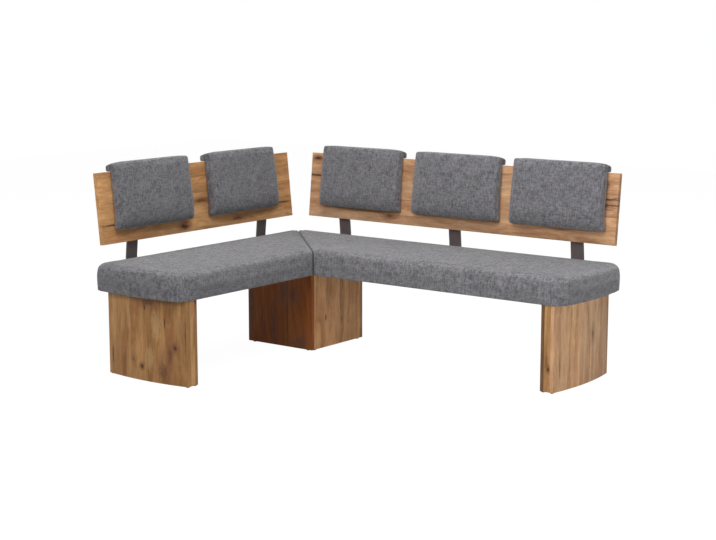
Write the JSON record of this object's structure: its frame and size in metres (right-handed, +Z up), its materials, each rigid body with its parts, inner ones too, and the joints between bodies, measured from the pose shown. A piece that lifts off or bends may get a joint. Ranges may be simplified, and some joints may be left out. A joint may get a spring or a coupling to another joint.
{
  "type": "corner bench",
  "caption": "L-shaped dining corner bench: upholstered seats meeting in a mitre on bowed wooden end legs and a corner plinth, with wooden back panels on steel brackets and hung cushions.",
  "frame": {"origin": "on the floor under the middle of the whole bench's box", "axes": "+X along the long wing away from the corner, +Y from the long wing's front to its back, +Z up"},
  "size_m": [1.8566, 1.4286, 0.9046],
  "materials": {
    "oak": "rustic oak with knots and cracks, satin",
    "raw_wood": "raw softwood",
    "seat_board": "raw plywood",
    "grey_fabric": "mottled woven upholstery",
    "cushion_fabric": "mottled woven upholstery",
    "foam": "open-cell foam",
    "lining": "black non-woven lining",
    "dark_steel": "anthracite powder coat",
    "screw_steel": "zinc plated",
    "glide": "moulded"
  },
  "bodies": {
    "bench": {"seat_board_long": "seat_board", "seat_foam_long": "foam", "seat_cover_long": "grey_fabric", "seat_lining_long": "lining", "leg_skin_long": "oak", "leg_inner_panel_long": "oak", "leg_front_rail_long": "oak", "leg_rear_rail_long": "oak", "leg_cross_rails_long": "raw_wood", "leg_glides_long": "glide", "back_panel_long": "oak", "seat_board_short": "seat_board", "seat_foam_short": "foam", "seat_cover_short": "grey_fabric", "seat_lining_short": "lining", "leg_skin_short": "oak", "leg_inner_panel_short": "oak", "leg_front_rail_short": "oak", "leg_rear_rail_short": "oak", "leg_cross_rails_short": "raw_wood", "leg_glides_short": "glide", "back_panel_short": "oak", "plinth_front_panel": "oak", "plinth_rear_panel": "oak", "plinth_side_panel": "oak", "plinth_outer_panel": "oak", "plinth_corner_posts": "raw_wood", "plinth_top_battens": "raw_wood", "plinth_glides": "glide", "batten_screws": "screw_steel", "angle_screws": "screw_steel", "mitre_plate_screws": "screw_steel", "bracket_foot_screws": "screw_steel", "panel_screws": "screw_steel", "leg_angles": "screw_steel", "mitre_plates": "screw_steel", "bracket_long_1": "dark_steel", "bracket_long_2": "dark_steel", "bracket_long_3": "dark_steel", "bracket_short_1": "dark_steel", "bracket_short_2": "dark_steel"},
    "cushion_long_1": {"cushion_long_1_pad": "cushion_fabric", "cushion_long_1_fold": "cushion_fabric", "cushion_long_1_flap": "cushion_fabric"},
    "cushion_long_2": {"cushion_long_2_pad": "cushion_fabric", "cushion_long_2_fold": "cushion_fabric", "cushion_long_2_flap": "cushion_fabric"},
    "cushion_long_3": {"cushion_long_3_pad": "cushion_fabric", "cushion_long_3_fold": "cushion_fabric", "cushion_long_3_flap": "cushion_fabric"},
    "cushion_short_1": {"cushion_short_1_pad": "cushion_fabric", "cushion_short_1_fold": "cushion_fabric", "cushion_short_1_flap": "cushion_fabric"},
    "cushion_short_2": {"cushion_short_2_pad": "cushion_fabric", "cushion_short_2_fold": "cushion_fabric", "cushion_short_2_flap": "cushion_fabric"}
  },
  "joints": [
    {"name": "cushion_long_1_slide", "type": "slide", "parent": "bench", "child": "cushion_long_1", "axis": [1, 0, 0], "range_m": [-0.085, 0.039]},
    {"name": "cushion_long_2_slide", "type": "slide", "parent": "bench", "child": "cushion_long_2", "axis": [1, 0, 0], "range_m": [-0.039, 0.032]},
    {"name": "cushion_long_3_slide", "type": "slide", "parent": "bench", "child": "cushion_long_3", "axis": [1, 0, 0], "range_m": [-0.032, 0.047]},
    {"name": "cushion_short_1_slide", "type": "slide", "parent": "bench", "child": "cushion_short_1", "axis": [0, -1, 0], "range_m": [-0.133, 0.063]},
    {"name": "cushion_short_2_slide", "type": "slide", "parent": "bench", "child": "cushion_short_2", "axis": [0, -1, 0], "range_m": [-0.063, 0.07]}
  ]
}
